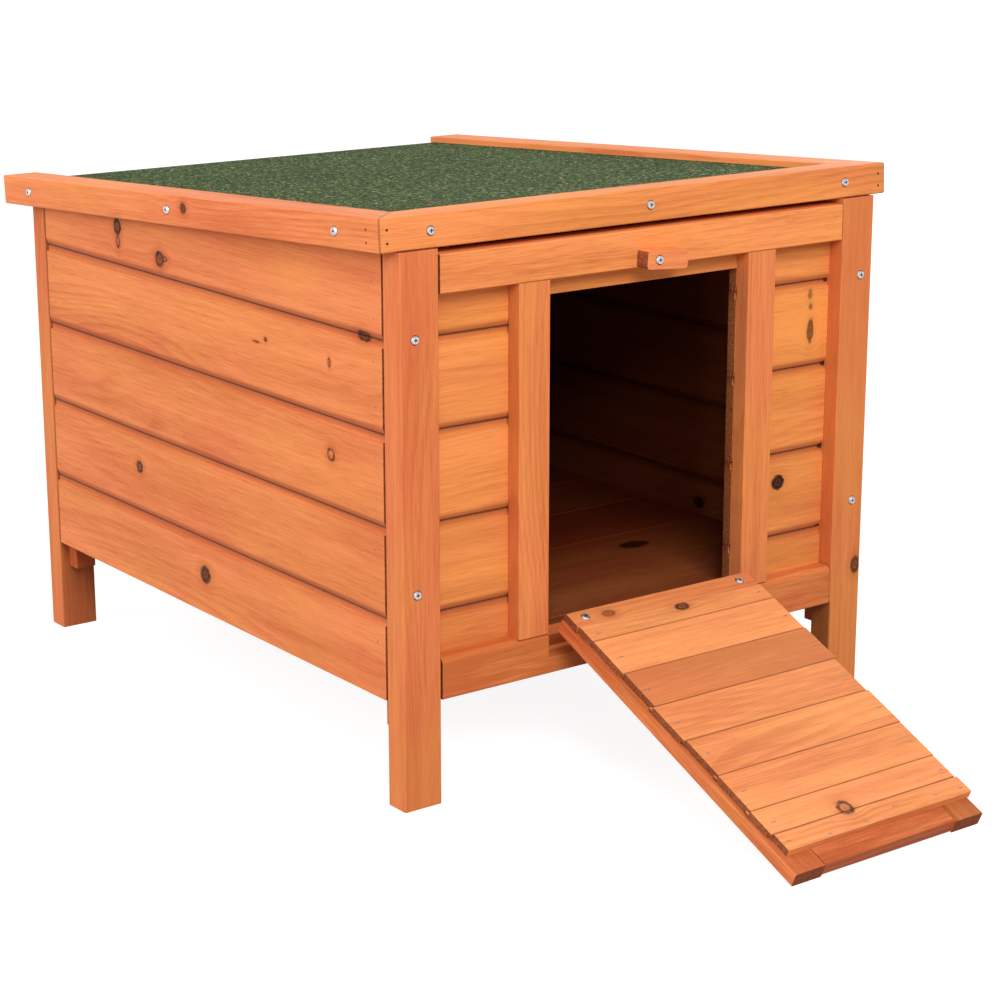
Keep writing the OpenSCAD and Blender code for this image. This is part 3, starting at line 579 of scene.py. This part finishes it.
def pine(name, grain, place=HOUSE, lines=(), lines_on="z", lip=0, seam=1.0, thin=1.0, seed=0, tone=0.0,
         steps=(), warm=0.0, pale=0.0, figure=0.8, knots_and_shade_spots=(), inside=None, fade=None, stain=0.0, mitred=False):
    """Stained softwood whose grain runs along the first letter of grain, with the second across its face.

    Boards meet at lines, and steps are the changes of tone there. Inside is the axis and the sign of the
    faces that the darkening tint darkens, and how dark they are: painted shade on the faces that look into
    the cabin and on shaded legs, and a darker tone on the tops of the ramp's battens.
    Fade is an axis, two places on it, and what that darkness is multiplied by past the second; with it the
    painted shade deepens away from the doorway, and on a leg it stays below the cabin.
    Stain darkens the whole piece by the same tint: painted shade on the inner ledgers, back rail and corner
    cleats, and a darker tone on the ramp's foot rail.
    """
    material, graph, shader = new_material(name)
    point, facing = local_place(graph, place)
    axis = {"x": 0, "y": 1, "z": 2}
    along, across, deep = (point[axis[letter]] for letter in grain)
    here = graph.join(along, across, deep)
    end = graph.smooth(graph.math("ABSOLUTE", facing[axis[grain[0]]]), 0.6, 0.8)
    inner = stain
    if inside:
        looks, sign, darkness = inside
        inner = graph.smooth(graph.product(facing[axis[looks]], sign), 0.4, 0.8, 0.0, darkness)
    if fade:
        runs, start, stop, factor = fade
        inner = graph.product(inner, graph.smooth(point[axis[runs]], start, stop, 1.0, factor))

    height = point[axis[lines_on]]
    past = [graph.math("GREATER_THAN", height, float(edge)) for edge in lines]
    board = graph.total(float(seed), *past)
    tone = graph.total(tone, *[graph.product(crossed, step) for crossed, step in zip(past, steps)])
    groove, line = joint_marks(graph, height, lines, lip, seam, thin)
    if mitred:
        corner = graph.math("SUBTRACT", ROOF_HALF, graph.math("ABSOLUTE", point[0]))
        off = graph.math("ABSOLUTE", graph.math("SUBTRACT", corner, point[1]))
        line = graph.smooth(off, MITRE_INNER, MITRE_OUTER, 0.9, 0.0)

    marks = dict.fromkeys(KNOT_MARKS, 0.0)
    for sizes in knots_and_shade_spots:
        knot = use_group(graph, KNOT, {"Grain": here, **dict(zip(KNOT_SIZES, sizes))})
        for mark in KNOT_MARKS:
            combine = "ADD" if mark == "Push" else "MAXIMUM"
            marks[mark] = graph.math(combine, marks[mark], knot[mark])

    wood = use_group(graph, PINE, {
        "Grain": here, "Board": board, "End": end, "GrooveStainAndShade": groove, "Line": line, "Darkening": inner,
        "Tone": tone, "Warm": warm, "Figure": figure, "SheenTint": pale, **marks,
    })
    graph.feed(shader.inputs["Base Color"], wood["Color"])
    graph.feed(shader.inputs["Roughness"], wood["Roughness"])
    shader.inputs["Specular IOR Level"].default_value = WOOD_SHEEN
    bump(graph, shader, wood["Height"], WOOD_BUMP)
    return material


def felt():
    """Green mineral felt: grit of several tones over soft mottling."""
    material, graph, shader = new_material("green_felt")
    point, _ = local_place(graph, ROOF)
    place = graph.join(*point)
    pick, spark, dark = graph.cells(place, GRIT_SCALE)
    mottle = graph.noise(place, MOTTLE_SCALE, 4.0, 0.6)
    tuft = graph.noise(place, TUFT_SCALE, 3.0, 0.75)
    level = graph.total(graph.product(pick, GRIT_LIGHT),
                        graph.math("MULTIPLY_ADD", tuft, TUFT_LIGHT, TUFT_OFFSET),
                        graph.swing(mottle, MOTTLE_LIGHT))
    colour = graph.mix(graph.smooth(level, 0.05, 0.95), FELT_DARK, FELT_MID)
    colour = graph.mix(graph.product(graph.smooth(spark, 0.84, 0.98), PALE_GRIT), colour, FELT_PALE)
    colour = graph.mix(graph.product(graph.smooth(dark, 0.74, 0.90), DARK_GRIT), colour, FELT_DARK)
    graph.feed(shader.inputs["Base Color"], colour)
    shader.inputs["Roughness"].default_value = FELT_ROUGH
    shader.inputs["Specular IOR Level"].default_value = FELT_SHEEN
    bump(graph, shader, graph.total(pick, graph.product(tuft, TUFT_BUMP)), FELT_BUMP)
    return material


def steel(name, bright, dull, metallic, roughness):
    """Plated steel with faint brushing and dull spots."""
    material, graph, shader = new_material(name)
    point, _ = local_place(graph, HOUSE)
    place = graph.join(*point)
    brushed = graph.noise(place, BRUSH_SCALE, 3.0, 0.6)
    spots = graph.noise(place, SPOT_SCALE)
    graph.feed(shader.inputs["Base Color"], graph.mix(graph.smooth(spots, 0.40, 0.75), bright, dull))
    shader.inputs["Metallic"].default_value = metallic
    graph.feed(shader.inputs["Roughness"], graph.math("MULTIPLY_ADD", brushed, BRUSH_ROUGH, roughness))
    bump(graph, shader, brushed, STEEL_BUMP)
    return material


def dark_hole():
    """Painted shade: the dark of a small hole or of a screw's recess."""
    material, graph, shader = new_material("dark_recess")
    point, _ = local_place(graph, HOUSE)
    grain = graph.noise(graph.join(*point), HOLE_SCALE)
    graph.feed(shader.inputs["Base Color"], graph.mix(grain, HOLE_DARK, HOLE_BROWN))
    shader.inputs["Roughness"].default_value = HOLE_ROUGH
    return material


def cabin_wood():
    """The materials of the posts, walls, front and floor."""
    walls = {"lines": BOARD_LINES, "lip": LIP, "seam": 0.82}
    # Painted shade: the front boards' inner faces are darkened
    front = {**walls, "seam": 1.0, "warm": 0.45, "inside": ("y", 1, 0.90)}
    return {
        "post_front_left": pine("pine_post_a", "zxy", seed=11, tone=0.34, figure=0.6),
        # Painted shade: the right post's inner face is darkened below the cabin
        "post_front_right": pine("pine_post_b", "zxy", seed=12, tone=0.32, warm=0.2, figure=0.5,
                                 knots_and_shade_spots=RIGHT_POST_KNOTS, inside=("x", -1, 0.55), fade=LEG_SHADE_FADE),
        # Painted shade: the back left post's front face is darkened
        "post_back_left": pine("pine_post_c", "zxy", seed=13, tone=0.26, figure=0.6, inside=("y", -1, 0.38)),
        "post_back_right": pine("pine_post_d", "zxy", seed=14, tone=0.12, figure=0.6),
        # Painted shade: the walls' inner faces are darkened, the side walls more so away from the doorway
        "wall_left": pine("pine_wall_left", "yzx", seed=20, knots_and_shade_spots=WALL_KNOTS, inside=("x", 1, 0.66),
                          fade=WALL_SHADE_FADE, **walls),
        "wall_right": pine("pine_wall_right", "yzx", seed=30, knots_and_shade_spots=FAR_WALL_KNOTS, inside=("x", -1, 0.66),
                           fade=WALL_SHADE_FADE, **walls),
        "wall_back": pine("pine_wall_back", "xzy", seed=40, knots_and_shade_spots=BACK_KNOTS, inside=("y", -1, 0.94),
                          **walls),
        "front_board_bottom": pine("pine_front_low", "xzy", seed=50, tone=0.20, **front),
        "front_boards_left": pine("pine_front_left", "xzy", seed=60, tone=-0.05, **front),
        # Painted shade: dark spots where the board lines meet the post, drawn with the knots
        "front_boards_right": pine("pine_front_right", "xzy", seed=70, tone=-0.10,
                                   knots_and_shade_spots=FRONT_KNOTS + FRONT_GAP_SHADE_SPOTS, **front),
        "front_board_top": pine("pine_front_top", "xzy", seed=80, **front),
        "top_rail": pine("pine_top_rail", "xzy", seed=90, tone=-0.04, warm=0.3, figure=1.2),
        "bottom_rail": pine("pine_bottom_rail", "xzy", lines=[0], lines_on="x", seam=0.0, seed=91, tone=0.66,
                            figure=1.2, steps=(-0.45,)),
        "stile_left": pine("pine_stile_left", "zxy", seed=92, tone=0.03, warm=0.1, figure=0.7),
        "stile_right": pine("pine_stile_right", "zxy", seed=93, tone=0.04, warm=0.1, figure=0.7),
        "turn_button": pine("pine_button", "xzy", seed=130, tone=-0.10),
        # Painted shade: the floor's top face is darkened, more so away from the doorway
        "floor_boards": pine("pine_floor", "xyz", lines=FLOOR_LINES, lines_on="y", seam=0.7, seed=140,
                             tone=0.30, knots_and_shade_spots=FLOOR_KNOTS, inside=("z", 1, 0.74), fade=FLOOR_SHADE_FADE),
        # Painted shade: the corner cleats, inner ledgers and back rail are darkened all over
        "corner_cleats": pine("pine_inner_corner_cleats", "zxy", seed=150, tone=0.4, stain=0.22),
        "side_ledgers": pine("pine_inner_side_ledgers", "yzx", seed=151, tone=0.4, stain=0.55),
        "front_ledger": pine("pine_inner_front_ledger", "xzy", seed=152, tone=0.4, stain=0.55),
        "back_ledger": pine("pine_inner_back_ledger", "xzy", seed=153, tone=0.4, stain=0.55),
        "back_rail": pine("pine_inner_back_rail", "xzy", seed=154, tone=0.4, stain=0.55),
    }


def roof_wood():
    """The materials of the roof's frame, deck and back batten."""
    rails = {"place": ROOF, "mitred": True}
    return {
        "roof_rail_left": pine("pine_rail_left", "yzx", seed=100, tone=-0.08, knots_and_shade_spots=LEFT_RAIL_KNOTS, **rails),
        "roof_rail_right": pine("pine_rail_right", "yzx", seed=101, **rails),
        "roof_rail_front": pine("pine_rail_front", "xzy", seed=102, tone=-0.08, warm=0.3, **rails),
        # Painted shade: the deck's underside, inside the cabin, is darkened
        "roof_deck": pine("pine_deck", "xyz", ROOF, seed=160, tone=0.4, inside=("z", -1, 0.82)),
        "roof_back_batten": pine("pine_back_batten", "xzy", ROOF, seed=161, tone=0.3),
    }


def ramp_wood():
    """The materials of the ramp's battens, rails and slats."""
    return {
        # The battens are darker on their top faces, and the foot rail all over, by the darkening tint
        "ramp_batten_left": pine("pine_batten_left", "yxz", RAMP, seed=110, tone=0.10, figure=1.3,
                                 inside=("z", 1, 0.33)),
        "ramp_batten_right": pine("pine_batten_right", "yxz", RAMP, seed=111, tone=0.16, figure=1.3,
                                  inside=("z", 1, 0.40)),
        "ramp_head_rail": pine("pine_head_rail", "xyz", RAMP, seed=114, tone=0.25),
        "ramp_foot_rail": pine("pine_foot_rail", "xyz", RAMP, seed=112, tone=0.36, figure=1.5, stain=0.26),
        # Painted sheen: the top bar and the slats are tinted paler
        "ramp_top_bar": pine("pine_top_bar", "xyz", RAMP, seed=113, tone=0.27, pale=0.25, knots_and_shade_spots=BAR_KNOTS),
        "ramp_slats": pine("pine_slats", "xyz", RAMP, SLAT_LINES, "y", seam=0.7, thin=0.6, seed=120,
                           tone=0.02, steps=SLAT_STEPS, pale=0.44, figure=1.0, knots_and_shade_spots=SLAT_KNOTS),
    }


def paint(node, material):
    slots = NODES[node].data.materials
    slots.clear()
    slots.append(material)


def ease_edges(node, width):
    """Rounds a node's sharp edges a little, as sanding does."""
    thing = NODES[node]
    weld = thing.modifiers.new("weld", "WELD")
    weld.merge_threshold = WELD * MM
    bevel = thing.modifiers.new("ease", "BEVEL")
    bevel.width = width * MM
    bevel.segments = 2
    bevel.limit_method = "ANGLE"
    bevel.angle_limit = SHARP
    bevel.use_clamp_overlap = True
    thing.modifiers.new("normals", "WEIGHTED_NORMAL").keep_sharp = False


def new_piece(name, mesh_maker, material, body):
    mesh = bpy.data.meshes.new(name)
    made = bmesh.new()
    mesh_maker(made)
    made.to_mesh(mesh)
    made.free()
    mesh.materials.append(material)
    for face in mesh.polygons:
        face.use_smooth = True
    piece = bpy.data.objects.new(name, mesh)
    bpy.context.scene.collection.objects.link(piece)
    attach(piece, body)
    return piece


def face_frame(place, at, out):
    """A frame at a point of a face, in millimetres, whose z axis is the way the face looks."""
    return place @ shift(*at) @ Vector(out).to_track_quat("Z", "Y").to_matrix().to_4x4()


def rings(made, where, sizes, sides):
    """Loops of points, one for each radius and height, with faces between them."""
    turns = [2 * math.pi * i / sides for i in range(sides)]
    loops = []
    for radius, lift in sizes:
        points = [Vector((radius * math.cos(turn), radius * math.sin(turn), lift)) * MM for turn in turns]
        loops.append([made.verts.new(where @ point) for point in points])
    for low, high in zip(loops, loops[1:]):
        for i in range(sides):
            j = (i + 1) % sides
            made.faces.new((low[i], low[j], high[j], high[i]))
    return loops


def bar(made, where, long, wide, thick):
    """A small bar with its middle at the frame's origin, in millimetres."""
    size = Matrix.Diagonal(Vector((long * MM, wide * MM, thick * MM, 1)))
    bmesh.ops.create_cube(made, size=1.0, matrix=where @ size)


def stud(made, place, at, out, radius, height):
    """A low round head on a face."""
    sizes = [(radius, 0.0), (radius, 0.6 * height), (0.6 * radius, height)]
    made.faces.new(rings(made, face_frame(place, at, out), sizes, NAIL_SIDES)[-1])


def strayed(spots, value, most):
    """The value, moved by chance by as much as most either way."""
    return value + spots.uniform(-most, most)


def wall_nails(made):
    """Two nails at each end of each board."""
    spots = random.Random(4)
    for low, high in zip([LEG_HEIGHT] + BOARD_LINES, BOARD_LINES + [WALL_TOP]):
        for share in NAIL_SHARES:
            z = low + share * (high - low)
            for side in (-1, 1):
                for y in (NAIL_FROM_END, DEPTH - NAIL_FROM_END):
                    if z < NAIL_BACK_TOP or y < DEPTH / 2:
                        at = (side * HALF_WIDTH, strayed(spots, y, STRAY_NEAR), strayed(spots, z, STRAY_FAR))
                        stud(made, HOUSE, at, (side, 0, 0), NAIL_RADIUS, NAIL_HEIGHT)
                x = side * strayed(spots, NAIL_BACK_X, STRAY_FAR)
                if z < NAIL_BACK_TOP:
                    at = (x, DEPTH, strayed(spots, z, STRAY_FAR))
                    stud(made, HOUSE, at, (0, 1, 0), NAIL_RADIUS, NAIL_HEIGHT)


def corner_holes(made):
    """The sunk nails beside the mitres, two on each face of a corner, as dark discs of painted shade."""
    for side in (-1, 1):
        for up in SUNK_UP:
            at_side = (side * ROOF_HALF, SUNK_FROM_FRONT, up)
            stud(made, ROOF, at_side, (side, 0, 0), SUNK_SIDE_RADIUS, SUNK_HEIGHT)
            at_front = (side * (ROOF_HALF - SUNK_FROM_SIDE), 0, up)
            stud(made, ROOF, at_front, (0, -1, 0), SUNK_FRONT_RADIUS, SUNK_HEIGHT)


def staples(made):
    """Staple crowns across the ends of the slats, and along the lowest one."""
    spots = random.Random(9)
    edges = [SLATS_FOOT] + SLAT_LINES + [SLATS_HEAD]
    places = [(x, (low + high) / 2) for low, high in zip(edges, edges[1:]) for x in STAPLE_X]
    places += [(x, STAPLE_FOOT_Y) for x in STAPLE_FOOT_X]
    for x, y in places:
        at = (strayed(spots, x, STRAY_NEAR), strayed(spots, y, STRAY_FAR), RAMP_TOP - STAPLE_SINK)
        tilt = Matrix.Rotation(strayed(spots, 0, STAPLE_TILT), 4, "Z")
        bar(made, RAMP @ shift(*at) @ tilt, *STAPLE)


def cabin_screw_places():
    posts = [(HOUSE, (side * POST_SCREW_X, 0, z), (0, -1, 0)) for side in (-1, 1) for z in POST_SCREW_Z]
    return posts + [(HOUSE, BUTTON_SCREW, (0, -1, 0))]


def roof_screw_places():
    sides = [(ROOF, (side * ROOF_HALF, down, ROOF_SCREW_UP), (side, 0, 0))
             for side in (-1, 1) for down in ROOF_SCREW_DOWN_SIDE]
    outer = ROOF_HALF - ROOF_SCREW_FROM_CORNER
    return sides + [(ROOF, (x, 0, ROOF_SCREW_UP), (0, -1, 0)) for x in (-outer, 0, outer)]


def ramp_screw_places():
    x, y = RAMP_SCREW
    return [(RAMP, (side * x, y, RAMP_TOP), (0, 0, 1)) for side in (-1, 1)]


def screw_shadows(places):
    """The dark floor of each screw's cross recess, and the dark ring where its head meets the wood."""
    def make(made):
        for place, at, out in places:
            where = face_frame(place, at, out)
            for long, wide in ((RECESS_LONG, RECESS_WIDE), (RECESS_WIDE, RECESS_LONG)):
                bar(made, where @ shift(0, 0, RECESS_LIFT), long, wide, RECESS_THICK)
            rings(made, where, SCREW_RIM, SCREW_SIDES)
    return make


def dress_nodes():
    for node, material in {**cabin_wood(), **roof_wood(), **ramp_wood()}.items():
        paint(node, material)
    for node in ("wall_left", "wall_right", "front_board_bottom", "front_boards_left", "front_boards_right",
                 "front_board_top", "ramp_slats", "floor_boards"):
        ease_edges(node, EASED)
    paint("roof_felt", felt())
    screw = steel("zinc_screw", ZINC, ZINC_DULL, 1, SCREW_ROUGH)
    hinge = steel("zinc_hinge", ZINC, ZINC_DULL, 1, HINGE_ROUGH)
    nail = steel("nail_head", NAIL_PALE, NAIL_GREY, 0, NAIL_ROUGH)
    dark = dark_hole()
    for node in ("post_screws", "roof_screws", "ramp_screws", "button_screw", "wall_leaf_screws",
                 "roof_leaf_screws", "rail_plate_screws", "ramp_plate_screws"):
        paint(node, screw)
    for node in ("roof_hinge_fixed", "roof_hinge_moving", "roof_hinge_pins", "ramp_hinge_fixed",
                 "ramp_hinge_moving", "ramp_hinge_pins"):
        paint(node, hinge)
    new_piece("wall_nails", wall_nails, nail, "cabin")
    new_piece("slat_staples", staples, nail, "ramp")
    new_piece("corner_nails", corner_holes, dark, "roof")
    new_piece("cabin_screw_shadows", screw_shadows(cabin_screw_places()), dark, "cabin")
    new_piece("roof_screw_shadows", screw_shadows(roof_screw_places()), dark, "roof")
    new_piece("ramp_screw_shadows", screw_shadows(ramp_screw_places()), dark, "ramp")


def seen_directly(graph):
    """1 for rays from the camera and in clear reflections, else 0."""
    path = graph.node("ShaderNodeLightPath").outputs
    seen = graph.math("MAXIMUM", path["Is Camera Ray"], path["Is Glossy Ray"])
    return graph.math("MAXIMUM", seen, path["Is Transmission Ray"])


def make_floor():
    """A pale floor that looks white, with the object's shadow left faintly on it."""
    mesh = bpy.data.meshes.new("floor")
    made = bmesh.new()
    bmesh.ops.create_grid(made, x_segments=1, y_segments=1, size=FLOOR_SIZE)
    made.to_mesh(mesh)
    made.free()
    floor = bpy.data.objects.new("floor", mesh)
    bpy.context.scene.collection.objects.link(floor)
    material, graph, shader = new_material("floor")
    seen = seen_directly(graph)
    grey = graph.math("MULTIPLY_ADD", seen, FLOOR_SEEN_GREY - FLOOR_GREY, FLOOR_GREY)
    graph.feed(shader.inputs["Base Color"], graph.join(grey, grey, grey))
    graph.feed(shader.inputs["Emission Strength"], graph.product(seen, FLOOR_GLOW))
    shader.inputs["Emission Color"].default_value = WHITE
    shader.inputs["Roughness"].default_value = 1
    shader.inputs["Specular IOR Level"].default_value = 0
    mesh.materials.append(material)


def make_world():
    """White behind the object, and an even soft light on it."""
    world = bpy.data.worlds.new("studio")
    bpy.context.scene.world = world
    world.use_nodes = True
    graph = Graph(world.node_tree)
    background = world.node_tree.nodes["Background"]
    strength = graph.math("MULTIPLY_ADD", seen_directly(graph), 1 - AMBIENT, AMBIENT)
    graph.feed(background.inputs["Strength"], strength)
    background.inputs["Color"].default_value = WHITE


def soft_lamp(name, at, target, size, watts):
    lamp = bpy.data.lights.new(name, "AREA")
    lamp.shape = "SQUARE"
    lamp.size = size
    lamp.energy = watts
    thing = bpy.data.objects.new(name, lamp)
    thing.location = at
    thing.rotation_euler = (Vector(target) - Vector(at)).to_track_quat("-Z", "Y").to_euler()
    bpy.context.scene.collection.objects.link(thing)


def make_camera():
    heading, down = math.radians(CAMERA_HEADING), math.radians(CAMERA_DOWN)
    level = math.cos(down)
    look = Vector((math.sin(heading) * level, math.cos(heading) * level, -math.sin(down)))
    camera = bpy.data.cameras.new("camera")
    camera.lens = CAMERA_LENS
    camera.sensor_width = CAMERA_SENSOR
    thing = bpy.data.objects.new("camera", camera)
    thing.location = CAMERA_AT
    thing.rotation_euler = look.to_track_quat("-Z", "Y").to_euler()
    bpy.context.scene.collection.objects.link(thing)
    bpy.context.scene.camera = thing


def make_stage():
    make_floor()
    make_world()
    for name, (at, target, size, watts) in LAMPS.items():
        soft_lamp(name, at, target, size, watts)
    bpy.context.scene.view_settings.view_transform = "Standard"


make_camera()
dress_nodes()
make_stage()
